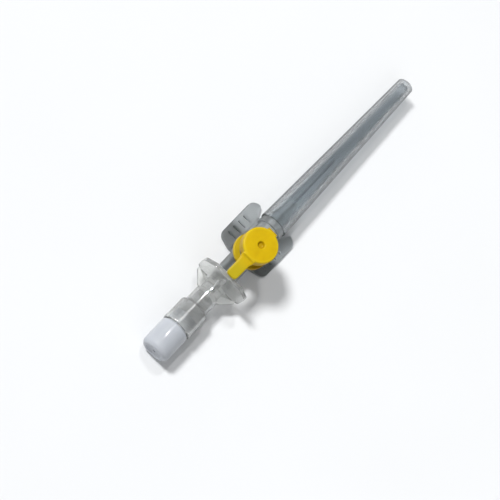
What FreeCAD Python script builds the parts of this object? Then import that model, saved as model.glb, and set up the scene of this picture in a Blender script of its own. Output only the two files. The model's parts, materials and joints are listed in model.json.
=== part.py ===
import FreeCAD
import Part
import math
import os
from FreeCAD import Vector

# Ported intravenous cannula, 24 gauge, with its needle cover on. Millimetres.
# X runs along the device towards the needle point, Y across it, Z up.
# The origin lies on the underside of the wings, straight below the injection port.

# The device's own line, above the wings' underside
axis_height = 4.5

# Running and seating clearances between pieces
luer_clearance = 0.05
cover_clearance = 0.06
cap_clearance = 0.05
ring_clearance = 0.05
valve_clearance = 0.03
tube_clearance = 0.02
hinge_clearance = 0.06
stopper_clearance = 0.05
shoulder_gap = 0.1
cover_gap = 0.2
notch_clearance = 0.25

# Roundings that many edges share
fine_round = 0.2
edge_round = 0.3
web_round = 0.8

# Steel needle
needle_radius = 0.235
needle_wall = 0.1
needle_tail_in_chamber = 0.3
needle_lead = 0.1
bevel_angle = 18.0
lancet_angle = 30.0
lancet_turn = 38.0

# Soft catheter tube, 0.7 mm across
catheter_radius = 0.35
catheter_wall = 0.09
catheter_length = 19.0
catheter_tip_taper = 1.5
catheter_tip_wall = 0.03
catheter_seat_depth = 4.6
flare_length = 2.0
flare_cone = 1.0
flare_growth = 0.13

# Steel wedge that holds the catheter in the hub
wedge_wall = 0.1
wedge_funnel_length = 3.5
wedge_mouth_radius = 1.45
wedge_mouth_wall = 0.12
wedge_entry_cone = 1.0

# Catheter hub: barrel, luer socket, nose
hub_rear = -9.5
barrel_radius = 3.4
barrel_front = 12.5
luer_mouth_radius = 2.15
luer_taper = 0.03
luer_lug_radius = 3.9
luer_lug_length = 1.0
luer_lug_width = 5.0
flow_radius = 1.1
spigot_length = 3.2
nose_radius = 2.5
nose_tip_radius = 1.2
nose_tip = 22.0
spigot_edge = 0.5
stop_radius = 3.9
stop_length = 2.0

# Injection port, square to the barrel
port_radius = 3.4
port_bore_radius = 2.1
rim_above_hinge = 0.5
port_bore_floor = 9.6
port_inlet_radius = 1.3
collar_radius = 4.0
collar_top = 9.0
rim_round = 0.25

# Valve sleeve under the port
valve_radius = 1.88
valve_wall = 0.5
valve_half_length = 3.5
valve_end_room = 0.1
valve_seat_cone = 0.8

# Wings
wing_rear = -0.5
wing_front = 15.8
wing_half_span = 8.8
wing_tip_thickness = 0.8
wing_root_thickness = 1.5
wing_root = 4.2
wing_neck_half_width = 2.9
wing_neck_height = 3.4
wing_corner = 2.4
wing_sweep = 1.3
wing_tip_slant = 0.6
rib_count = 4
rib_width = 0.5
rib_height = 0.3
rib_pitch = 2.2
rib_first = 3.4
rib_start = 5.0
rib_inset = 1.2

# Retaining ring of the port's cap, with its strap
ring_radius = 5.15
ring_thickness = 1.3
strap_width = 3.0
strap_thickness = 0.9
strap_gap = 0.15
strap_foot = 0.3
hinge_height = 16.0

# Port cap; its heights are measured from its hinge
cap_radius = 5.1
top_above_hinge = 2.0
cap_rim_gap = 0.1
cap_edge_round = 0.45
skirt_below_hinge = 1.4
skirt_clearance = 0.6
stopper_depth = 1.9
stopper_taper = 0.25
dimple_radius = 1.05
dimple_floor_radius = 0.7
dimple_depth = 0.8
tongue_reach = 11.7
tongue_width = 3.4
tongue_root_width = 4.3
tongue_thickness = 1.3
end_below_hinge = 0.25
root_above_hinge = 1.0
tongue_corner = 0.7
tongue_flare = 0.9
tongue_flare_round = 1.2
tongue_bend = 0.3
tongue_bend_round = 1.5
grip_bite = 0.9
arm_half_height = 0.7

# Needle grip: luer taper, thumb plate, flash chamber
grip_tip = -4.0
plate_front = -11.0
plate_thickness = 1.2
plate_foot = 0.8
plate_below_tongue = 0.45
plate_half_width = 7.7
plate_foot_half_width = 3.4
plate_head_half_width = 4.4
plate_side_low = 6.0
plate_side_high = 11.3
plate_corner = 1.3
neck_radius = 3.0
gusset_reach = 3.8
gusset_toe_half = 3.8
gusset_thickness = 1.0
gusset_half_span = 6.9
gusset_heel = 0.5
gusset_drop = 1.6
chamber_front = -16.4
chamber_step = -21.0
chamber_rear = -29.2
chamber_small_radius = 3.55
chamber_large_radius = 4.4
chamber_wall = 0.65
chamber_floor = 0.8
chamber_slope = 0.8
lip_radius = 4.5
lip_length = 1.5

# White vent plug and its filter
plug_rear = -38.4
plug_radius = 4.35
plug_stem_length = 4.2
plug_bore_radius = 2.3
plug_bore_depth = 4.6
plug_rear_round = 1.3
plug_front_round = 0.6
vent_radius = 0.4
filter_thickness = 1.6
filter_inset = 0.8
filter_clearance = 0.03

# Needle cover
cover_length = 63.6
cover_base_radius = 4.3
cover_tip_radius = 2.65
cover_wall = 0.8
cover_end_wall = 1.0
cover_edge_round = 0.4

# Sizes that follow from the ones above
cover_start = barrel_front + cover_gap
cover_end = cover_start + cover_length
catheter_start = nose_tip - catheter_seat_depth
catheter_end = nose_tip + catheter_length
valve_bore_radius = valve_radius + valve_clearance
valve_bore_half = valve_half_length + valve_end_room
wedge_tail_radius = catheter_radius - catheter_wall + flare_growth - tube_clearance
wedge_tail_end = catheter_start + flare_length
wedge_start = catheter_start - wedge_funnel_length
hinge_x = cap_radius + strap_gap + strap_thickness / 2
port_rim = hinge_height + rim_above_hinge
cap_top = hinge_height + top_above_hinge
skirt_bottom = hinge_height - skirt_below_hinge
tongue_root_top = hinge_height + root_above_hinge
tongue_end_top = hinge_height - end_below_hinge
plate_top = tongue_end_top - tongue_thickness - plate_below_tongue
bore_top = port_bore_radius - cap_clearance
plate_rear = plate_front - plate_thickness
bevel_length = 2 * needle_radius / math.tan(math.radians(bevel_angle))
needle_point = catheter_end + needle_lead + bevel_length
chamber_bore_small = chamber_small_radius - chamber_wall
chamber_bore_large = chamber_large_radius - chamber_wall
chamber_inner_front = chamber_front - chamber_floor
needle_rear = chamber_inner_front - needle_tail_in_chamber
plug_front = chamber_rear - shoulder_gap


def on_side(u, v):
    """A point of a profile along the device: u along X, v out from its own line."""
    return Vector(u, 0, axis_height + v)


def in_elevation(u, v):
    """A point in the upright plane along the device: u along X, v up from the origin."""
    return Vector(u, 0, v)


def in_plan(u, v):
    """A point in the floor plane: u along X, v along Y."""
    return Vector(u, v, 0)


def across(u, v):
    """A point in the upright plane across the device: u along Y, v up."""
    return Vector(0, u, v)


def outline(corners, place):
    """A closed outline through corners (u, v, rounding radius), as lines and tangent arcs."""
    count = len(corners)
    starts = []
    ends = []
    middles = []
    for i, (u, v, radius) in enumerate(corners):
        here = Vector(u, v, 0)
        before = Vector(corners[i - 1][0], corners[i - 1][1], 0) - here
        after = Vector(corners[(i + 1) % count][0], corners[(i + 1) % count][1], 0) - here
        before.normalize()
        after.normalize()
        half = before.getAngle(after) / 2
        if radius == 0:
            starts.append(here)
            ends.append(here)
            middles.append(None)
            continue
        reach = radius / math.tan(half)
        inward = before + after
        inward.normalize()
        centre = here + inward * (radius / math.sin(half))
        starts.append(here + before * reach)
        ends.append(here + after * reach)
        middles.append(centre - inward * radius)
    edges = []
    for i in range(count):
        if middles[i] is not None:
            arc = [place(p.x, p.y) for p in (starts[i], middles[i], ends[i])]
            edges.append(Part.Arc(*arc).toShape())
        here = ends[i]
        there = starts[(i + 1) % count]
        if here.distanceToPoint(there) > 1e-6:
            edges.append(Part.LineSegment(place(here.x, here.y), place(there.x, there.y)).toShape())
    return Part.Wire(edges)


def turned(corners):
    """A solid of revolution about the device's own line, from (x, radius, rounding) corners."""
    face = Part.Face(outline(corners, on_side))
    return face.revolve(Vector(0, 0, axis_height), Vector(1, 0, 0), 360)


def turned_about_port(corners):
    """A solid of revolution about the port's upright line, from (radius, z, rounding) corners."""
    face = Part.Face(outline(corners, in_elevation))
    return face.revolve(Vector(0, 0, 0), Vector(0, 0, 1), 360)


def slab(corners, place, direction):
    """A flat outline thickened along a direction."""
    return Part.Face(outline(corners, place)).extrude(direction)


def luer_radius(x):
    """The hub's luer socket narrows steadily from its mouth."""
    return luer_mouth_radius - luer_taper * (x - hub_rear)


def cover_radius(x):
    """The needle cover's outside narrows steadily from its base to its tip."""
    share = (x - cover_start) / cover_length
    return cover_base_radius + (cover_tip_radius - cover_base_radius) * share


def mirrored(corners):
    """The left half of a section across the device, in reverse order."""
    return [(-u, v, radius) for u, v, radius in reversed(corners)]


def wings():
    """Both wings and the bridge under the barrel: one section along X, trimmed to the plan."""
    half_section = [
        (wing_half_span, 0, 0),
        (wing_half_span, wing_tip_thickness, edge_round),
        (wing_root, wing_root_thickness, web_round),
        (wing_neck_half_width, wing_neck_height, 0),
    ]
    section = slab(
        half_section + mirrored(half_section),
        across,
        Vector(wing_front - wing_rear, 0, 0),
    )
    section.translate(Vector(wing_rear, 0, 0))
    notch = cover_base_radius + notch_clearance
    edge = [
        (barrel_front, notch, fine_round),
        (wing_front, notch + wing_sweep, web_round),
        (wing_front - wing_tip_slant, wing_half_span, wing_corner),
        (wing_rear + wing_sweep, wing_half_span, wing_corner),
        (wing_rear, wing_root, web_round),
    ]
    other_edge = [(u, -v, radius) for u, v, radius in reversed(edge)]
    plan = slab(edge + other_edge, in_plan, Vector(0, 0, axis_height))
    rib_length = wing_half_span - rib_start - rib_inset
    ribs = []
    for i in range(rib_count):
        for y in (rib_start, -rib_start - rib_length):
            rib = Part.makeBox(rib_width, rib_length, wing_root_thickness)
            rib.translate(Vector(wing_rear + rib_first + i * rib_pitch, y, rib_height))
            ribs.append(rib)
    return section.common(plan).fuse(ribs)


def luer_lugs():
    """Two ears at the socket's mouth: a short flange, trimmed to a band across it."""
    flange = Part.makeCylinder(
        luer_lug_radius,
        luer_lug_length,
        Vector(hub_rear, 0, axis_height),
        Vector(1, 0, 0),
    )
    band = Part.makeBox(luer_lug_length, luer_lug_width, 2 * luer_lug_radius)
    band.translate(Vector(hub_rear, -luer_lug_width / 2, axis_height - luer_lug_radius))
    return flange.common(band)


def catheter_hub():
    cover_bore = cover_wall + cover_clearance
    spigot_end = barrel_front + spigot_length
    body = turned([
        (hub_rear, 0, 0),
        (hub_rear, barrel_radius, fine_round),
        (barrel_front - stop_length, barrel_radius, 0),
        (barrel_front - stop_length, stop_radius, fine_round),
        (barrel_front, stop_radius, fine_round),
        (barrel_front, cover_radius(barrel_front) - cover_bore, 0),
        (spigot_end, cover_radius(spigot_end) - cover_bore, spigot_edge),
        (spigot_end, nose_radius, fine_round),
        (nose_tip, nose_tip_radius, edge_round),
        (nose_tip, 0, 0),
    ])
    port = turned_about_port([
        (0, axis_height, 0),
        (collar_radius, axis_height, 0),
        (collar_radius, collar_top, fine_round),
        (port_radius, collar_top, 0),
        (port_radius, port_rim, rim_round),
        (0, port_rim, 0),
    ])
    flare_radius = catheter_radius + flare_growth + tube_clearance
    bores = turned([
        (hub_rear, 0, 0),
        (hub_rear, luer_radius(hub_rear), 0),
        (-valve_bore_half, luer_radius(-valve_bore_half), 0),
        (-valve_bore_half, valve_bore_radius, 0),
        (valve_bore_half, valve_bore_radius, 0),
        (valve_bore_half + valve_seat_cone, flow_radius, 0),
        (wedge_start - wedge_entry_cone, flow_radius, 0),
        (wedge_start, wedge_mouth_radius + tube_clearance, 0),
        (catheter_start, flare_radius, 0),
        (wedge_tail_end, flare_radius, 0),
        (wedge_tail_end + flare_cone, catheter_radius + tube_clearance, 0),
        (nose_tip, catheter_radius + tube_clearance, 0),
        (nose_tip, 0, 0),
    ])
    port_bore = turned_about_port([
        (0, axis_height, 0),
        (port_inlet_radius, axis_height, 0),
        (port_inlet_radius, port_bore_floor, 0),
        (port_bore_radius, port_bore_floor, 0),
        (port_bore_radius, port_rim, 0),
        (0, port_rim, 0),
    ])
    whole = body.fuse([luer_lugs(), port, wings()])
    return whole.cut([bores, port_bore]).removeSplitter()


def port_valve():
    inner = valve_radius - valve_wall
    return turned([
        (-valve_half_length, inner, 0),
        (-valve_half_length, valve_radius, 0),
        (valve_half_length, valve_radius, 0),
        (valve_half_length, inner, 0),
    ])


def catheter_wedge():
    inner_tail = wedge_tail_radius - wedge_wall
    return turned([
        (wedge_start, wedge_mouth_radius - wedge_mouth_wall, 0),
        (wedge_start, wedge_mouth_radius, 0),
        (catheter_start - tube_clearance, wedge_tail_radius, 0),
        (wedge_tail_end, wedge_tail_radius, 0),
        (wedge_tail_end, inner_tail, 0),
        (catheter_start, inner_tail, 0),
    ])


def catheter_tube():
    bore = catheter_radius - catheter_wall
    bore_tip = needle_radius + tube_clearance / 2
    return turned([
        (catheter_start, bore + flare_growth, 0),
        (catheter_start, catheter_radius + flare_growth, 0),
        (wedge_tail_end, catheter_radius + flare_growth, 0),
        (wedge_tail_end + flare_cone, catheter_radius, 0),
        (catheter_end - catheter_tip_taper, catheter_radius, 0),
        (catheter_end, bore_tip + catheter_tip_wall, 0),
        (catheter_end, bore_tip, 0),
        (catheter_end - catheter_tip_taper, bore, 0),
        (wedge_tail_end + flare_cone, bore, 0),
        (wedge_tail_end, bore + flare_growth, 0),
    ])


def ground_away(slope, turn):
    """What a grinding plane takes off the point: slope from the needle's line, turned about it."""
    low = -needle_radius * math.cos(math.radians(turn))
    rise = math.tan(math.radians(slope))
    wedge = slab(
        [
            (needle_point - (needle_radius - low) / rise, needle_radius, 0),
            (needle_point, low, 0),
            (needle_point + needle_radius, low, 0),
            (needle_point + needle_radius, needle_radius, 0),
        ],
        on_side,
        Vector(0, 4 * needle_radius, 0),
    )
    wedge.translate(Vector(0, -2 * needle_radius, 0))
    wedge.rotate(Vector(0, 0, axis_height), Vector(1, 0, 0), turn)
    return wedge


def needle():
    """A thin steel tube with a slanted opening that faces up and two grinds beside the tip."""
    tube = turned([
        (needle_rear, needle_radius - needle_wall, 0),
        (needle_rear, needle_radius, 0),
        (needle_point, needle_radius, 0),
        (needle_point, needle_radius - needle_wall, 0),
    ])
    grinds = [
        ground_away(bevel_angle, 0),
        ground_away(lancet_angle, lancet_turn),
        ground_away(lancet_angle, -lancet_turn),
    ]
    return tube.cut(grinds)


def cap_ring():
    """The ring round the port's foot, its strap in front and the rounded top it hinges on."""
    ring_top = collar_top + ring_thickness
    inner = port_radius + ring_clearance
    ring = turned_about_port([
        (inner, collar_top, 0),
        (ring_radius, collar_top, edge_round),
        (ring_radius, ring_top, edge_round),
        (inner, ring_top, 0),
    ])
    back = hinge_x - strap_thickness / 2
    front = hinge_x + strap_thickness / 2
    strap = slab(
        [
            (inner + strap_foot, collar_top, 0),
            (front, collar_top, edge_round),
            (front, hinge_height, 0),
            (back, hinge_height, 0),
            (back, ring_top, 0),
            (inner + strap_foot, ring_top, 0),
        ],
        in_elevation,
        Vector(0, strap_width, 0),
    )
    strap.translate(Vector(0, -strap_width / 2, 0))
    knuckle = Part.makeCylinder(
        strap_thickness / 2,
        strap_width,
        Vector(hinge_x, -strap_width / 2, hinge_height),
        Vector(0, 1, 0),
    )
    return ring.fuse([strap, knuckle]).removeSplitter()


def tongue():
    """The finger tab: a plan with a flared root, trimmed to a slab that slopes down to its end."""
    root_x = grip_bite - cap_radius
    bend_x = -cap_radius - tongue_bend
    half_plan = [
        (root_x, tongue_root_width / 2, 0),
        (-cap_radius - tongue_flare, tongue_width / 2, tongue_flare_round),
        (-tongue_reach, tongue_width / 2, tongue_corner),
    ]
    other_half = [(u, -v, radius) for u, v, radius in reversed(half_plan)]
    plan = slab(half_plan + other_half, in_plan, Vector(0, 0, cap_top))
    side = slab(
        [
            (root_x, tongue_root_top - tongue_thickness, 0),
            (root_x, tongue_root_top, 0),
            (bend_x, tongue_root_top, tongue_bend_round),
            (-tongue_reach, tongue_end_top, edge_round),
            (-tongue_reach, tongue_end_top - tongue_thickness, edge_round),
            (bend_x, tongue_root_top - tongue_thickness, tongue_bend_round),
        ],
        in_elevation,
        Vector(0, tongue_root_width, 0),
    )
    side.translate(Vector(0, -tongue_root_width / 2, 0))
    return plan.common(side)


def port_cap():
    ceiling = port_rim + cap_rim_gap
    skirt_inner = port_radius + skirt_clearance
    stopper_end = ceiling - stopper_depth
    lid = turned_about_port([
        (0, stopper_end, 0),
        (bore_top - stopper_taper, stopper_end, fine_round),
        (bore_top, ceiling, 0),
        (skirt_inner, ceiling, 0),
        (skirt_inner, skirt_bottom, 0),
        (cap_radius, skirt_bottom, fine_round),
        (cap_radius, cap_top, cap_edge_round),
        (dimple_radius, cap_top, fine_round),
        (dimple_floor_radius, cap_top - dimple_depth, 0),
        (0, cap_top - dimple_depth, 0),
    ])
    arm_root = cap_radius - grip_bite
    arm_end = hinge_x - strap_thickness / 2 - hinge_clearance
    arm = Part.makeBox(arm_end - arm_root, strap_width, 2 * arm_half_height)
    arm.translate(Vector(arm_root, -strap_width / 2, hinge_height - arm_half_height))
    port_room = Part.makeCylinder(skirt_inner, ceiling, Vector(0, 0, 0), Vector(0, 0, 1))
    grips = tongue().fuse(arm).cut(port_room)
    return lid.fuse(grips).removeSplitter()


def thumb_plate():
    half = [
        (plate_foot_half_width, plate_foot, web_round),
        (plate_half_width, plate_side_low, plate_corner),
        (plate_half_width, plate_side_high, plate_corner),
        (plate_head_half_width, plate_top, plate_corner),
    ]
    plate = slab(half + mirrored(half), across, Vector(plate_thickness, 0, 0))
    plate.translate(Vector(plate_rear, 0, 0))
    return plate


def gussets():
    """A level web each side and one above, which brace the thumb plate from behind."""
    heel_x = plate_rear - gusset_heel
    toe_x = plate_rear - gusset_reach
    level = slab(
        [
            (plate_front, gusset_half_span, 0),
            (heel_x, gusset_half_span, edge_round),
            (toe_x, gusset_toe_half, web_round),
            (toe_x, -gusset_toe_half, web_round),
            (heel_x, -gusset_half_span, edge_round),
            (plate_front, -gusset_half_span, 0),
        ],
        in_plan,
        Vector(0, 0, gusset_thickness),
    )
    level.translate(Vector(0, 0, axis_height - gusset_thickness / 2))
    upper_top = plate_top - gusset_drop
    upper = slab(
        [
            (plate_front, axis_height, 0),
            (plate_front, upper_top, 0),
            (heel_x, upper_top, edge_round),
            (toe_x, axis_height + neck_radius, web_round),
            (toe_x, axis_height, 0),
        ],
        in_elevation,
        Vector(0, gusset_thickness, 0),
    )
    upper.translate(Vector(0, -gusset_thickness / 2, 0))
    return [level, upper]


def needle_hub():
    """Luer taper, thumb plate and flash chamber, moulded in one clear piece."""
    lip_front = chamber_rear + lip_length
    outside = turned([
        (grip_tip, 0, 0),
        (grip_tip, luer_radius(grip_tip) - luer_clearance, edge_round),
        (plate_front, luer_radius(plate_front) - luer_clearance, 0),
        (plate_front, neck_radius, 0),
        (chamber_front + chamber_slope, neck_radius, web_round),
        (chamber_front, chamber_small_radius, edge_round),
        (chamber_step, chamber_small_radius, edge_round),
        (chamber_step - chamber_slope, chamber_large_radius, edge_round),
        (lip_front, chamber_large_radius, 0),
        (lip_front, lip_radius, 0),
        (chamber_rear, lip_radius, edge_round),
        (chamber_rear, 0, 0),
    ])
    cavity = turned([
        (chamber_inner_front, 0, 0),
        (chamber_inner_front, chamber_bore_small, edge_round),
        (chamber_step, chamber_bore_small, 0),
        (chamber_step - chamber_slope, chamber_bore_large, 0),
        (chamber_rear, chamber_bore_large, 0),
        (chamber_rear, 0, 0),
    ])
    needle_seat = turned([
        (grip_tip, 0, 0),
        (grip_tip, needle_radius + tube_clearance, 0),
        (chamber_inner_front, needle_radius + tube_clearance, 0),
        (chamber_inner_front, 0, 0),
    ])
    solid = outside.fuse([thumb_plate()] + gussets())
    return solid.cut([cavity, needle_seat]).removeSplitter()


def vent_plug():
    stem_radius = chamber_bore_large - stopper_clearance
    stem_end = plug_front + plug_stem_length
    return turned([
        (stem_end, plug_bore_radius, 0),
        (stem_end, stem_radius, edge_round),
        (plug_front, stem_radius, 0),
        (plug_front, plug_radius, plug_front_round),
        (plug_rear, plug_radius, plug_rear_round),
        (plug_rear, vent_radius, 0),
        (stem_end - plug_bore_depth, vent_radius, 0),
        (stem_end - plug_bore_depth, plug_bore_radius, 0),
    ])


def vent_filter():
    front = plug_front + plug_stem_length - filter_inset
    return turned([
        (front, 0, 0),
        (front, plug_bore_radius - filter_clearance, 0),
        (front - filter_thickness, plug_bore_radius - filter_clearance, 0),
        (front - filter_thickness, 0, 0),
    ])


def needle_cover():
    base_inner = cover_base_radius - cover_wall
    floor_x = cover_end - cover_end_wall
    return turned([
        (cover_start, base_inner, 0),
        (cover_start, cover_base_radius, fine_round),
        (cover_end, cover_tip_radius, cover_edge_round),
        (cover_end, 0, 0),
        (floor_x, 0, 0),
        (floor_x, cover_radius(floor_x) - cover_wall, edge_round),
    ])


pieces = {
    "catheter_hub": catheter_hub,
    "port_valve": port_valve,
    "catheter_wedge": catheter_wedge,
    "catheter_tube": catheter_tube,
    "cap_ring": cap_ring,
    "port_cap": port_cap,
    "needle": needle,
    "needle_hub": needle_hub,
    "vent_plug": vent_plug,
    "vent_filter": vent_filter,
    "needle_cover": needle_cover,
}

os.makedirs("parts", exist_ok=True)
for name, make in pieces.items():
    shape = make()
    shape.exportStep("parts/" + name + ".step")
    print(name, len(shape.Solids), "solid,", round(shape.Volume, 2), "mm3, valid", shape.isValid())
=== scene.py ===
import json
import math
import bpy
import numpy as np
from mathutils import Matrix, Vector


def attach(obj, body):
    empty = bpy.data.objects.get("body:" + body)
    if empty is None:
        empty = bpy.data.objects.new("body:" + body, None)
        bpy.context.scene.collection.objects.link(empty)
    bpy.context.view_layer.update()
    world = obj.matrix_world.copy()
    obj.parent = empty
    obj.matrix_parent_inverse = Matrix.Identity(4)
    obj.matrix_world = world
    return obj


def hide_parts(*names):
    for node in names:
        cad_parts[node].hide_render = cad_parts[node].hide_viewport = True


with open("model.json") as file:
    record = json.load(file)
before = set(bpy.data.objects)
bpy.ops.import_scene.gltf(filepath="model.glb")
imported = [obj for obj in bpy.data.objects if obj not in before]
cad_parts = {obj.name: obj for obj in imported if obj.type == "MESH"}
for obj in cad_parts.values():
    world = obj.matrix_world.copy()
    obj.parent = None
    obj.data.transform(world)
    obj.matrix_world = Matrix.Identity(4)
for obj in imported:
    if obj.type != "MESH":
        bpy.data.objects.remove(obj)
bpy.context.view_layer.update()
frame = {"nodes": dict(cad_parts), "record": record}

# A ported intravenous cannula with its needle cover on, X towards the needle point.
# Shapes are worked out in mm and put into the meshes in metres.
mm = 0.001
lineHeight = 4.5  # the device's own line above the floor, in mm
nodes = frame["nodes"]
scene = bpy.context.scene


# Shader maths: a socket that takes part in sums, and a finish that makes every node

class Wire:
    # One output socket. Each operator adds one Math node.
    def __init__(self, finish, socket):
        self.finish = finish
        self.socket = socket

    def maths(self, operation, first, second=None):
        inputs = {0: first} if second is None else {0: first, 1: second}
        return self.finish.node("ShaderNodeMath", {"operation": operation}, inputs)

    def __add__(self, other):
        return self.maths("ADD", self, other)

    def __radd__(self, other):
        return self.maths("ADD", other, self)

    def __sub__(self, other):
        return self.maths("SUBTRACT", self, other)

    def __rsub__(self, other):
        return self.maths("SUBTRACT", other, self)

    def __mul__(self, other):
        return self.maths("MULTIPLY", self, other)

    def __rmul__(self, other):
        return self.maths("MULTIPLY", other, self)

    def __truediv__(self, other):
        return self.maths("DIVIDE", self, other)

    def __pow__(self, other):
        return self.maths("POWER", self, other)

    def above(self, edge, soft):
        # 0 below the edge and 1 above it, with a straight ramp as wide as soft
        ramp = (self - (edge - soft / 2)) / soft
        return self.maths("MINIMUM", self.maths("MAXIMUM", ramp, 0.0), 1.0)

    def within(self, low, high, soft):
        # 1 between two edges and 0 outside them
        return self.above(low, soft) * (1 - self.above(high, soft))


class Finish:
    # One material. Fixed values go straight to the shader's sockets, and node() makes every other node.
    def __init__(self, name, **fixed):
        self.material = bpy.data.materials.new(name)
        self.material.use_nodes = True
        self.tree = self.material.node_tree
        self.shader = self.tree.nodes["Principled BSDF"]
        for socket, value in fixed.items():
            self.shader.inputs[socket.replace("_", " ")].default_value = value

    def node(self, kind, settings=None, inputs=None, output=0):
        made = self.tree.nodes.new(kind)
        for key, value in (settings or {}).items():
            setattr(made, key, value)
        for key, value in (inputs or {}).items():
            self.feed(made.inputs[key], value)
        if output == "all":
            return [Wire(self, socket) for socket in made.outputs]
        return Wire(self, made.outputs[output])

    def feed(self, socket, value):
        if isinstance(value, Wire):
            self.tree.links.new(value.socket, socket)
        else:
            socket.default_value = value

    def set(self, **varying):
        for socket, value in varying.items():
            self.feed(self.shader.inputs[socket.replace("_", " ")], value)

    def place(self, scale=(1, 1, 1), shift=(0, 0, 0)):
        # The point on the piece in metres, moved and then stretched
        spot = self.node("ShaderNodeTexCoord", output="Object")
        return self.node("ShaderNodeMapping", None, {0: spot, 1: shift, 3: scale})

    def parts(self, where):
        # A point's three coordinates
        return self.node("ShaderNodeSeparateXYZ", None, {0: where}, output="all")

    def noise(self, where, size, detail=2.0, rough=0.5):
        # Noise from 0 to 1 with blots about as large as size
        return self.node(
            "ShaderNodeTexNoise", None,
            {"Vector": where, "Scale": 1 / size, "Detail": detail, "Roughness": rough},
        )

    def cells(self, where, size):
        # Distance to the nearest of many scattered points, from 0 at a point to about 1 between them
        return self.node("ShaderNodeTexVoronoi", None, {"Vector": where, "Scale": 1 / size})

    def blend(self, share, first, second):
        # Two colours mixed by a share from 0 to 1
        return self.node(
            "ShaderNodeMix", {"data_type": "RGBA"},
            {0: share, 6: first, 7: second}, output=2,
        )

    def bump(self, height, depth, strength=1.0):
        return self.node(
            "ShaderNodeBump", None,
            {"Height": height, "Distance": depth, "Strength": strength},
        )


def rgb(red, green, blue):
    return (red, green, blue, 1.0)


# Finishes

yellowLook = {
    "face": rgb(0.60, 0.405, 0.0015),
    "pale": rgb(0.62, 0.46, 0.010),
    # A deeper tone for the random clouds, also used as painted shade on the lid's side and on the ring's right
    "deepToneAndShade": rgb(0.38, 0.225, 0.001),
    # Painted shade for the dimple's hollow
    "paintedDimpleShade": rgb(0.41, 0.255, 0.001),
    # The ring's left, painted paler as its lit side
    "ring": rgb(0.61, 0.48, 0.022),
    # Painted shade along the tab
    "tabShadeOlive": rgb(0.44, 0.35, 0.010),
    "grain": 0.11 * mm,
    "cloud": 2.4 * mm,
    # Where a tone begins or ends: heights, distances from the port's line, and places along and across
    "topFrom": 16.6 * mm,
    "sideShadeBelow": 17.3 * mm,
    "ringBelow": 12.6 * mm,
    "rimFrom": 4.5 * mm,
    "rimTo": 5.6 * mm,
    "sideShadeWithin": 5.3 * mm,
    "dimple": 1.0 * mm,
    "tabFrom": -7.0 * mm,
    "ringShadeEdge": -2.5 * mm,
}


def yellowPlastic():
    # Soft moulded plastic: slow clouds of tone, fine grain and paler at the lid's rim, with painted light and
    # shade:
    # painted shade along the tab, in the dimple, on the lid's side and on the ring's right, and the ring's left
    # painted paler as its lit side
    look = yellowLook
    made = Finish(
        "yellowPlastic", Subsurface_Weight=0.10, Subsurface_Scale=0.0005, Specular_IOR_Level=0.12,
        Coat_Weight=0.06, Coat_Roughness=0.15,
    )
    made.shader.inputs["Subsurface Radius"].default_value = (1.0, 0.6, 0.1)
    here = made.place()
    cloud = made.noise(here, look["cloud"], 3.0)
    grain = made.noise(here, look["grain"])
    along, across, high = made.parts(here)
    fromPort = (along * along + across * across) ** 0.5
    onTop = high.above(look["topFrom"], 0.4 * mm)
    rim = fromPort.within(look["rimFrom"], look["rimTo"], 0.5 * mm) * onTop
    # Painted shade in the dimple, where the recess lies in shade
    dimple = (1 - fromPort.above(look["dimple"], 0.25 * mm)) * onTop
    # Painted shade along the tab, darker and olive towards its lower end
    tab = 1 - along.above(look["tabFrom"], 4 * mm)
    # The ring, low under the lid, is painted with light and shade: its left paler as the lit side, its right
    # deeper as the side in shade
    ring = 1 - high.above(look["ringBelow"], 1.2 * mm)
    ringLitAndShaded = made.blend(across.above(look["ringShadeEdge"], 3 * mm), look["deepToneAndShade"], look["ring"])
    # Painted shade on the lid's side wall below its top
    side = (1 - high.above(look["sideShadeBelow"], 0.6 * mm)) * (1 - fromPort.above(look["sideShadeWithin"], 0.3 * mm))
    tone = made.blend(cloud.above(0.5, 0.5) * 0.35, look["face"], look["deepToneAndShade"])
    tone = made.blend(rim * 0.5, tone, look["pale"])
    tone = made.blend(tab * 0.9, tone, look["tabShadeOlive"])
    tone = made.blend(ring * 0.9, tone, ringLitAndShaded)
    tone = made.blend(side * 0.45, tone, look["deepToneAndShade"])
    made.set(
        Base_Color=made.blend(dimple * 0.9, tone, look["paintedDimpleShade"]),
        Roughness=0.36 + grain * 0.16,
        Normal=made.bump(grain * 0.5 + cloud * 0.8, 0.02 * mm, 0.7),
    )
    return made.material


whiteLook = {
    "body": rgb(0.465, 0.485, 0.52),
    "cool": rgb(0.41, 0.435, 0.475),
    "grain": 0.1 * mm,
    "cloud": 2.8 * mm,
    "coat": 0.6,
    "coatFrom": -36.2 * mm,
}


def whitePlastic():
    # Milky moulded plastic with faint cool clouds and a fine grain, glossy except at its rounded rear
    look = whiteLook
    made = Finish(
        "whitePlastic", Subsurface_Weight=0.35, Subsurface_Scale=0.0012, Specular_IOR_Level=0.2,
        Coat_Roughness=0.05,
    )
    made.shader.inputs["Subsurface Radius"].default_value = (1.0, 0.95, 0.9)
    here = made.place()
    cloud = made.noise(here, look["cloud"], 3.0)
    grain = made.noise(here, look["grain"])
    made.set(
        Base_Color=made.blend(cloud.above(0.5, 0.5) * 0.6, look["body"], look["cool"]),
        Roughness=0.34 + grain * 0.18,
        Coat_Weight=made.parts(here)[0].above(look["coatFrom"], 1.2 * mm) * look["coat"],
        Normal=made.bump(grain * 0.5 + cloud, 0.02 * mm, 0.6),
    )
    return made.material


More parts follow.
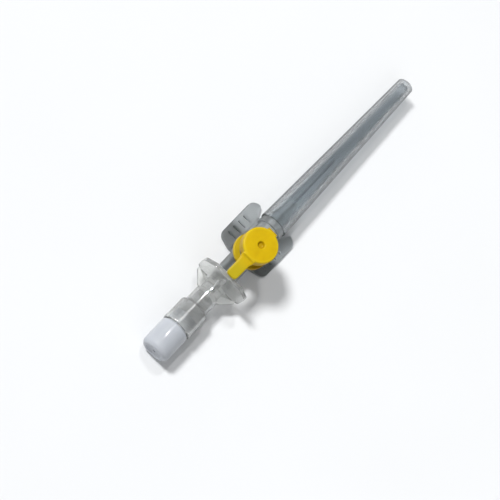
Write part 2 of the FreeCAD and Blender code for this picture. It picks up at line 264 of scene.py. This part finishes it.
clearLooks = {
    # Colours are for the plain wall, its flow marks and the stretches outside "from" and "to" mm along X,
    # which come in over "soft" mm. A "from" of -900 lies behind the device. The tint falls to "rim" times
    # itself over a ramp "edgeSoft" wide at "edge", where 0 faces the eye and 1 is edge-on. "coat" is the
    # gloss, which falls to "rearCoat" behind "coatFrom" mm where these are given. What isn't "solid" lets
    # light straight through, as a thin wall does.
    # On the clear plastic the paler stretches outside from and to are painted light: the thumb plate and the hub
    # ahead of it, which sit in shade, and the chamber's rear lip as a pale highlight
    "clear_plastic": {
        "wall": rgb(0.76, 0.77, 0.765), "flow": rgb(0.71, 0.72, 0.715), "other": rgb(0.97, 0.98, 0.965),
        "from": -27.6, "to": -17.0, "soft": 2.4, "haze": 0.21, "rim": 0.45, "edge": 0.75, "edgeSoft": 0.5,
        "coat": 1.0, "coatFrom": -19.6, "rearCoat": 0.2, "solid": 1.0,
    },
    "cover_plastic": {
        "wall": rgb(0.54, 0.62, 0.67), "flow": rgb(0.47, 0.55, 0.60), "other": rgb(0.265, 0.32, 0.355),
        "from": -900.0, "to": 26.0, "soft": 26.0, "haze": 0.04, "rim": 0.02, "edge": 0.42, "edgeSoft": 0.44,
        "coat": 0.6, "solid": 0.38,
    },
    "wing_plastic": {
        "wall": rgb(0.37, 0.395, 0.40), "flow": rgb(0.33, 0.35, 0.355), "other": rgb(0.72, 0.75, 0.76),
        "from": -900.0, "to": 6.5, "soft": 2.0, "haze": 0.26, "rim": 0.35, "edge": 0.7, "edgeSoft": 0.5,
        "coat": 0.7, "solid": 1.0,
    },
}
flowMarks = {"stretch": (0.22, 1, 1), "streak": 1.6 * mm, "grain": 0.09 * mm}


def clearPlastic(name):
    # Clear moulded plastic, a little milky: light passes and bends, with flow marks along the device, a
    # little haze, and edges that darken as a wall seen edge-on does
    look = clearLooks[name]
    made = Finish(name, Transmission_Weight=0.88, IOR=1.46, Specular_IOR_Level=0.5, Coat_Roughness=0.04)
    here = made.place()
    along = made.parts(here)[0]
    streak = made.noise(made.place(flowMarks["stretch"]), flowMarks["streak"], 2.0)
    grain = made.noise(here, flowMarks["grain"])
    turn = made.node("ShaderNodeLayerWeight", None, {"Blend": 0.5}, output=1)
    plain = along.within(look["from"] * mm, look["to"] * mm, look["soft"] * mm)
    # Outside from and to, the clear plastic's tone is painted light, lighter on the shaded thumb plate and at
    # the chamber's rear lip
    tone = made.blend(plain, look["other"], made.blend(streak.above(0.5, 0.5), look["wall"], look["flow"]))
    dark = rgb(*(look["rim"] * part for part in look["flow"][:3]))
    gloss = look["coat"]
    if "rearCoat" in look:
        gloss = along.above(look["coatFrom"] * mm, 1.0 * mm) * (gloss - look["rearCoat"]) + look["rearCoat"]
    edge = turn.above(look["edge"], look["edgeSoft"])
    if look["solid"] < 1:
        made.set(Alpha=look["solid"] + edge ** 3 * (1 - look["solid"]))
    made.set(
        Base_Color=made.blend(edge, tone, dark),
        Roughness=look["haze"] + grain * 0.05,
        Coat_Weight=gloss * (1 - turn ** 3),
        Normal=made.bump(streak + grain * 0.05, 0.03 * mm, 0.8),
    )
    return made.material


steelLook = {
    "dark": rgb(0.34, 0.35, 0.37), "bright": rgb(0.54, 0.55, 0.56), "stretch": (0.04, 1, 1), "streak": 0.03 * mm,
}


def steel():
    # Drawn steel: fine streaks along the tube
    look = steelLook
    made = Finish("steel", Metallic=1.0, Specular_IOR_Level=0.5)
    streak = made.noise(made.place(look["stretch"]), look["streak"], 3.0)
    made.set(
        Base_Color=made.blend(streak, look["dark"], look["bright"]),
        Roughness=0.18 + streak * 0.2,
        Normal=made.bump(streak, 0.003 * mm, 0.6),
    )
    return made.material


catheterLook = {
    "tube": rgb(0.36, 0.38, 0.40), "stripe": rgb(0.13, 0.15, 0.17), "stripes": 4.0, "grain": 0.08 * mm,
    "solid": 0.5, "stripeSolid": 0.85,
}


def catheterFilm():
    # Soft tube with faint stripes, where the cosine of their number times the angle about the tube is high
    look = catheterLook
    made = Finish("catheterFilm", Specular_IOR_Level=0.5)
    here = made.place(shift=(0, 0, -lineHeight * mm))
    along, wide, tall = made.parts(here)
    angle = wide.maths("ARCTAN2", tall, wide)
    stripe = angle.maths("COSINE", angle * look["stripes"]).above(0.72, 0.2)
    grain = made.noise(here, look["grain"])
    made.set(
        Base_Color=made.blend(stripe, look["tube"], look["stripe"]),
        Alpha=look["solid"] + stripe * (look["stripeSolid"] - look["solid"]),
        Roughness=0.28 + grain * 0.1,
        Normal=made.bump(grain, 0.004 * mm, 0.5),
    )
    return made.material


valveLook = {"milk": rgb(0.52, 0.50, 0.44), "dust": rgb(0.66, 0.64, 0.58), "grain": 0.16 * mm}


def valveRubber():
    # Silicone sleeve: a dusty, milky surface
    look = valveLook
    made = Finish("valveRubber", Subsurface_Weight=0.2, Subsurface_Scale=0.0005)
    dust = made.noise(made.place(), look["grain"], 3.0)
    made.set(
        Base_Color=made.blend(dust, look["milk"], look["dust"]),
        Roughness=0.55 + dust * 0.2,
        Normal=made.bump(dust, 0.01 * mm, 0.6),
    )
    return made.material


filterLook = {"pore": rgb(0.52, 0.52, 0.50), "grain": rgb(0.80, 0.80, 0.78), "cell": 0.12 * mm}


def filterFelt():
    # Pressed fibre: small dark pores between pale grains
    look = filterLook
    made = Finish("filterFelt")
    pores = made.cells(made.place(), look["cell"])
    made.set(
        Base_Color=made.blend(pores, look["pore"], look["grain"]),
        Roughness=0.8 + pores * 0.15,
        Normal=made.bump(pores, 0.05 * mm, 0.8),
    )
    return made.material


floorLook = {"pale": rgb(0.76, 0.77, 0.78), "paler": rgb(0.79, 0.80, 0.81), "cloud": 60 * mm}


def paleFloor():
    # Matt and pale, with very slow clouds
    look = floorLook
    made = Finish("paleFloor")
    haze = made.noise(made.place(), look["cloud"], 2.0)
    made.set(
        Base_Color=made.blend(haze, look["pale"], look["paler"]),
        Roughness=0.75 + haze * 0.1,
    )
    return made.material


finishes = {
    **{name: clearPlastic(name) for name in clearLooks},
    "yellow_plastic": yellowPlastic(),
    "white_plastic": whitePlastic(),
    "valve_rubber": valveRubber(),
    "catheter_film": catheterFilm(),
    "filter_felt": filterFelt(),
    "steel": steel(),
}
slotOf = {part["node"]: part["material_slot"] for part in frame["record"]["subparts"]}
for name, node in nodes.items():
    for place in node.material_slots:
        place.material = finishes[slotOf[name]]
print("finishes made:", len(finishes))


# Surfaces from numpy grids

def meshPiece(name, shells, slot, body, stands):
    # Each shell is its points in mm with groups of equal-sided faces. A shell whose enclosed volume
    # comes out negative is turned outwards.
    points, faces, first = [], [], 0
    for corners, groups in shells:
        volume = 0.0
        for group in groups:
            for step in range(1, group.shape[1] - 1):
                a, b, c = corners[group[:, 0]], corners[group[:, step]], corners[group[:, step + 1]]
                volume += np.einsum("ij,ij->", a, np.cross(b, c))
        for group in groups:
            faces += ((group if volume > 0 else group[:, ::-1]) + first).tolist()
        points.append(corners)
        first += len(corners)
    mesh = bpy.data.meshes.new(name)
    mesh.from_pydata((np.concatenate(points) * mm).tolist(), [], faces)
    mesh.polygons.foreach_set("use_smooth", np.ones(len(mesh.polygons), bool))
    mesh.materials.append(finishes[slot])
    piece = bpy.data.objects.new(name, mesh)
    scene.collection.objects.link(piece)
    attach(piece, body)
    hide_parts(stands)
    return piece


def gridShell(grid, closed):
    # Quads between neighbours of a grid that is closed round its columns. Where the rows aren't closed too,
    # a fan joins the first row and the last row each to the middle of its ring.
    rows, columns = grid.shape[:2]
    down, across = np.arange(rows if closed else rows - 1)[:, None], np.arange(columns)
    beside, below = (across + 1) % columns, (down + 1) % rows * columns
    quads = np.stack(
        [down * columns + across, down * columns + beside, below + beside, below + across], axis=-1
    ).reshape(-1, 4)
    points = grid.reshape(-1, 3)
    if closed:
        return points, [quads]
    last = (rows - 1) * columns
    ends = [
        np.stack([beside, across, np.full(columns, rows * columns)], -1),
        np.stack([last + across, last + beside, np.full(columns, rows * columns + 1)], -1),
    ]
    poles = np.stack([grid[0].mean(0), grid[-1].mean(0)])
    return np.concatenate([points, poles]), [quads, *ends]


def roundedLine(corners, closed=False, arcSteps=7, longest=1.0, shortest=0.12, margin=0.04):
    # A line through (u, v, rounding) corners. Each rounding is an arc that touches both sides. Each straight
    # run over "shortest" is divided into steps of about "longest", with a point "margin" from each end, so
    # the shading stays flat along it.
    spots = np.array([c[:2] for c in corners], float)
    count = len(corners)
    legs = []
    for i, (u, v, radius) in enumerate(corners):
        here = spots[i]
        if radius == 0 or (not closed and i in (0, count - 1)):
            legs.append(here[None, :])
            continue
        before = spots[i - 1] - here
        after = spots[(i + 1) % count] - here
        before /= np.linalg.norm(before)
        after /= np.linalg.norm(after)
        half = math.acos(np.clip(before @ after, -1, 1)) / 2
        centre = here + (before + after) / np.linalg.norm(before + after) * radius / math.sin(half)
        start = here + before * radius / math.tan(half) - centre
        side = -np.sign(before[0] * after[1] - before[1] * after[0])
        angle = side * (math.pi - 2 * half) * np.linspace(0, 1, arcSteps + 1)
        cos, sin = np.cos(angle), np.sin(angle)
        arc = np.stack([start[0] * cos - start[1] * sin, start[0] * sin + start[1] * cos], -1)
        legs.append(centre + arc)
    line = []
    for i, leg in enumerate(legs):
        line.append(leg)
        if i == count - 1 and not closed:
            break
        start, stop = leg[-1], legs[(i + 1) % count][0]
        length = np.linalg.norm(stop - start)
        if length > shortest:
            inner = np.linspace(0, 1, max(2, int(length / longest) + 1))[1:-1]
            shares = np.concatenate([[margin / length], inner, [1 - margin / length]])
            line.append(start + (stop - start) * shares[:, None])
    return np.concatenate(line)


def turned(line, around=96, swell=None):
    # Each (x, r) point goes round the device's line: y = r cos(angle), z = line height + r sin(angle).
    # swell(x, r, angle) is added to r.
    angle = np.linspace(0, 2 * math.pi, around, endpoint=False)[None, :]
    x, r = line[:, :1] + 0 * angle, line[:, 1:] + 0 * angle
    if swell is not None:
        r = r + swell(x, r, angle)
    return np.stack([x, r * np.cos(angle), lineHeight + r * np.sin(angle)], -1)


def turnedAboutPort(line, around=128):
    # Each (r, z) point goes round the port's upright line: x = r cos(angle), y = r sin(angle)
    angle = np.linspace(0, 2 * math.pi, around, endpoint=False)[None, :]
    r, z = line[:, :1] + 0 * angle, line[:, 1:] + 0 * angle
    return np.stack([r * np.cos(angle), r * np.sin(angle), z], -1)


def bar(x, halfWidth, middle, halfHeight, around=64, square=6.0):
    # Cross-sections along X, each a squared circle: |y / half width| and |z / half height|, both to the
    # power square, add up to 1
    angle = np.linspace(0, 2 * math.pi, around, endpoint=False)[None, :]
    y = np.sign(np.cos(angle)) * np.abs(np.cos(angle)) ** (2 / square) * halfWidth[:, None]
    z = np.sign(np.sin(angle)) * np.abs(np.sin(angle)) ** (2 / square) * halfHeight[:, None]
    return np.stack([x[:, None] + 0 * angle, y, middle[:, None] + z], -1)


# The port's cap: a lid with a stopper, a finger tab that slopes down to the rear and an arm to the hinge

capSizes = {
    "radius": 5.1, "top": 18.0, "crown": 0.06, "crownFrom": 0.55, "crownRound": 4.0, "edge": 0.45,
    "skirt": 14.6, "ceiling": 16.6, "skirtInner": 4.0,
    "stopperTop": 2.05, "stopperEnd": 1.8, "stopperLow": 14.7,
    "dimple": 1.05, "dimpleFloor": 0.7, "dimpleDepth": 0.8,
    "tabRoot": -4.2, "tabEnd": -11.7, "tabRootHalf": 2.15, "tabHalf": 1.7, "flareAt": -5.8, "flareSoft": 1.1,
    "tabTop": 17.0, "tabEndTop": 15.75, "tabThick": 1.3, "bendAt": -5.4, "bendSoft": 0.5, "endRound": 1.1,
    "endNarrow": 0.9, "endThick": 0.35, "tabFillet": 0.8, "tabSteps": 120,
    "armStart": 4.2, "armEnd": 5.19, "armHalf": 1.5, "armMiddle": 16.0, "armHalfHeight": 0.7, "armSteps": 12,
    "voxel": 0.11, "soften": 3, "softenShare": 0.5,
}


def capLid():
    # The lid's half section as (r, z, rounding) corners, from the stopper's low end out to the skirt and over
    # the top into the dimple, turned about the port's line
    s = capSizes
    return turnedAboutPort(roundedLine([
        (0.02, s["stopperLow"], 0), (s["stopperEnd"], s["stopperLow"], 0.2),
        (s["stopperTop"], s["ceiling"], 0.12), (s["skirtInner"], s["ceiling"], 0.15),
        (s["skirtInner"], s["skirt"], 0.15), (s["radius"], s["skirt"], 0.2),
        (s["radius"], s["top"] - s["crown"], s["edge"]),
        (s["radius"] * s["crownFrom"], s["top"], s["crownRound"]),
        (s["dimple"], s["top"], 0.22), (s["dimpleFloor"], s["top"] - s["dimpleDepth"], 0.12),
        (0.02, s["top"] - s["dimpleDepth"], 0),
    ], longest=0.4))


def capTab():
    # Half width: the straight width plus a flare that dies away as a smooth step along X.
    # Height: level to the bend and then down in a straight line, the two joined by a soft maximum. A quarter
    # circle raises the top where it meets the lid, and another closes the end.
    s = capSizes
    x = np.linspace(s["tabRoot"], s["tabEnd"], s["tabSteps"])
    flare = 1 / (1 + np.exp(-(x - s["flareAt"]) / (s["flareSoft"] / 4)))
    half = s["tabHalf"] + (s["tabRootHalf"] - s["tabHalf"]) * flare
    slope = (s["tabTop"] - s["tabEndTop"]) / (s["bendAt"] - s["tabEnd"])
    pastBend = s["bendAt"] - x
    drop = slope * (pastBend + np.sqrt(pastBend * pastBend + s["bendSoft"])) / 2
    intoEnd = np.clip((s["tabEnd"] + s["endRound"] - x) / s["endRound"], 0, 1)
    pinch = np.sqrt(1 - intoEnd ** 2 + 1e-6)
    fromLid = np.clip((-s["radius"] - x) / s["tabFillet"], 0, 1)
    rise = s["tabFillet"] * (1 - np.sqrt(1 - (1 - fromLid) ** 2)) / 2
    thick = s["tabThick"] / 2
    middle = s["tabTop"] - thick - drop + rise
    narrowed = half - (1 - pinch) * s["endRound"] * s["endNarrow"]
    return bar(x, narrowed, middle, thick * (s["endThick"] + (1 - s["endThick"]) * pinch) + rise)


def capArm():
    # A straight bar from inside the lid to its hinge
    s = capSizes
    x = np.linspace(s["armStart"], s["armEnd"], s["armSteps"])
    ones = np.ones_like(x)
    return bar(x, s["armHalf"] * ones, s["armMiddle"] * ones, s["armHalfHeight"] * ones, square=10.0)


portCap = meshPiece(
    "portCapMoulding", [gridShell(grid, False) for grid in (capLid(), capTab(), capArm())],
    "yellow_plastic", "cap", "port_cap",
)
merge = portCap.modifiers.new("merge", "REMESH")
merge.mode = "VOXEL"
merge.voxel_size = capSizes["voxel"] * mm
merge.use_smooth_shade = True
soften = portCap.modifiers.new("soften", "SMOOTH")
soften.factor = capSizes["softenShare"]
soften.iterations = capSizes["soften"]
print("port cap made")


# The white vent plug: a stem in the chamber, a body with a rounded rear, and a dished end with a vent hole

plugSizes = {
    "stemEnd": -25.1, "stem": 3.7, "bore": 2.3, "front": -29.3, "radius": 4.35, "rear": -38.4,
    "rearRound": 1.3, "frontRound": 0.6, "boreEnd": -29.7, "vent": 0.4,
    "dish": 2.5, "dishSlope": 0.25, "dishDepth": 0.3, "ridge": 0.03, "ridgeWidth": 0.03,
    "barrel": 0.08, "widest": -33.3, "barrelSpan": 4.5, "skin": 0.7,
}


def plugRidges(x, r, angle):
    # Two mould lines along the sides, each a narrow bell of height "ridge" where sin(angle) is near 0, and a
    # faint barrel shape that falls with the square of the distance from its widest place. Both are only on
    # the body's outermost "skin" mm.
    s = plugSizes
    outside = (r > s["radius"] - s["skin"]) & (x < s["front"] + 0.01)
    bell = s["ridge"] * np.exp(-((np.sin(angle) / s["ridgeWidth"]) ** 2))
    barrel = s["barrel"] * ((x - s["widest"]) / s["barrelSpan"]) ** 2
    return np.where(outside, bell - barrel - s["ridge"], 0)


def plugBody():
    # The plug's half section as (x, r, rounding) corners, once round its wall, turned about the device's line
    s = plugSizes
    return turned(roundedLine([
        (s["stemEnd"], s["bore"], 0.12), (s["stemEnd"], s["stem"], 0.3),
        (s["front"], s["stem"], 0), (s["front"], s["radius"], s["frontRound"]),
        (s["rear"], s["radius"], s["rearRound"]), (s["rear"], s["dish"], 0.15),
        (s["rear"] + s["dishDepth"], s["dish"] - s["dishSlope"], 0.1),
        (s["rear"] + s["dishDepth"], s["vent"], 0.08),
        (s["boreEnd"], s["vent"], 0), (s["boreEnd"], s["bore"], 0),
    ], closed=True), 128, plugRidges)


meshPiece("ventPlugMoulding", [gridShell(plugBody(), True)], "white_plastic", "plug", "vent_plug")
print("vent plug made")


# The needle cover: a long tapering shell, closed at its tip, with a gate mark there

coverSizes = {
    "start": 12.7, "end": 76.3, "base": 4.3, "tip": 2.65, "wall": 0.8, "endWall": 1.0,
    "edge": 0.2, "tipRound": 0.4, "sag": 0.018, "calmStart": 4, "calmEnd": 3, "waveFade": 4,
    "longWave": 0.41, "shortWave": 0.93, "shortStart": 1.3, "shortShare": 0.6,
    "gateRing": 0.75, "gateFloor": 0.65, "gateDepth": 0.3, "pipFoot": 0.3, "pipTop": 0.25, "pipBelow": 0.12,
}


def coverWaves(x, r, angle):
    # A wall that cooled unevenly: the radius falls by up to "sag" with the sum of two sines of X and the
    # angle, and by nothing near the rims
    s = coverSizes
    fromEnds = np.minimum(x - s["start"] - s["calmStart"], s["end"] - s["calmEnd"] - x)
    inside = np.clip(fromEnds / s["waveFade"], 0, 1)
    wave = np.sin(x * s["longWave"] + 2 * angle)
    wave = wave + s["shortShare"] * np.sin(x * s["shortWave"] - angle + s["shortStart"])
    return -s["sag"] * inside * (0.5 + 0.5 * wave / (1 + s["shortShare"]))


def coverShell():
    # The cover's half section as (x, r, rounding) corners, turned about the device's line: the inner wall
    # from its floor to the mouth, the outer wall back to the tip, and there a round dish with a pip
    s = coverSizes
    floorX = s["end"] - s["endWall"]
    floorShare = (floorX - s["start"]) / (s["end"] - s["start"])
    floorRadius = s["base"] + (s["tip"] - s["base"]) * floorShare - s["wall"]
    dish, pip = s["end"] - s["gateDepth"], s["end"] - s["pipBelow"]
    return turned(roundedLine([
        (floorX, 0.02, 0), (floorX, floorRadius, 0.3),
        (s["start"], s["base"] - s["wall"], 0.15), (s["start"], s["base"], s["edge"]),
        (s["end"], s["tip"], s["tipRound"]), (s["end"], s["gateRing"], 0.1), (dish, s["gateFloor"], 0.1),
        (dish, s["pipFoot"], 0.08), (pip, s["pipTop"], 0.08), (pip, 0.02, 0),
    ], longest=1.2), 128, coverWaves)


meshPiece(
    "needleCoverMoulding", [gridShell(coverShell(), False)], "cover_plastic", "cover", "needle_cover"
)
print("needle cover made")


# Floor, light and camera

stageLook = {"floor": 8.0, "below": 0.02 * mm}
reach = stageLook["floor"] / 2
floorMesh = bpy.data.meshes.new("floor")
floorMesh.from_pydata(
    [(x * reach, y * reach, -stageLook["below"]) for x, y in ((-1, -1), (1, -1), (1, 1), (-1, 1))],
    [], [(0, 1, 2, 3)],
)
floor = bpy.data.objects.new("floor", floorMesh)
scene.collection.objects.link(floor)
floorMesh.materials.append(paleFloor())

# The main light is a sun, so the floor is as pale far away as it is near the device
keyLook = {"from": (0.00, 0.34, 0.46), "strength": 2.82, "spread": 0.176}
lamps = {
    # name: (place, width, watts), all aimed at the middle of the device
    "fillLamp": ((-0.22, -0.30, 0.36), 0.50, 0.45),
    "rearSpark": ((0.153, 0.20, 0.53), 0.02, 0.3),
    "frontSpark": ((0.197, 0.20, 0.53), 0.02, 0.35),
}
middle = Vector((0.018, 0, 0.006))


def hangLamp(data, spot):
    lamp = bpy.data.objects.new(data.name, data)
    lamp.location = spot
    lamp.rotation_mode = "QUATERNION"
    lamp.rotation_quaternion = (middle - Vector(spot)).to_track_quat("-Z", "Y")
    scene.collection.objects.link(lamp)


sun = bpy.data.lights.new("keyLamp", "SUN")
sun.energy = keyLook["strength"]
sun.angle = keyLook["spread"]
hangLamp(sun, keyLook["from"])
for name, (spot, width, watts) in lamps.items():
    disc = bpy.data.lights.new(name, "AREA")
    disc.shape = "DISK"
    disc.size = width
    disc.energy = watts
    hangLamp(disc, spot)

skyLook = {"colour": rgb(0.97, 0.985, 1.0), "strength": 0.28}
studio = bpy.data.worlds.new("studio")
studio.use_nodes = True
sky = studio.node_tree.nodes["Background"]
sky.inputs["Color"].default_value = skyLook["colour"]
sky.inputs["Strength"].default_value = skyLook["strength"]
scene.world = studio
scene.view_settings.view_transform = "Standard"

view = {
    "lens": 97.1,
    "sensor": 36.0,
    "away": 0.3754,
    "aim": (2.15 * mm, -0.03 * mm, 5.0 * mm),
    "tiltBack": 0.43,
    "tiltLeft": 0.1029,
    "roll": 46.57,
    "near": 0.01,
    "far": 20.0,
}
toEye = Vector((-view["tiltBack"], view["tiltLeft"], 1.0)).normalized()
along = (Vector((1, 0, 0)) - toEye * toEye.x).normalized()
sideways = toEye.cross(along)
turn = math.radians(view["roll"])
right = math.cos(turn) * along - math.sin(turn) * sideways
up = math.sin(turn) * along + math.cos(turn) * sideways
cameraData = bpy.data.cameras.new("camera")
cameraData.lens = view["lens"]
cameraData.sensor_width = view["sensor"]
cameraData.clip_start = view["near"]
cameraData.clip_end = view["far"]
camera = bpy.data.objects.new("camera", cameraData)
camera.matrix_world = Matrix.Translation(Vector(view["aim"]) + toEye * view["away"]) @ Matrix(
    (right, up, toEye)
).transposed().to_4x4()
scene.collection.objects.link(camera)
scene.camera = camera
print("floor, light and camera set")
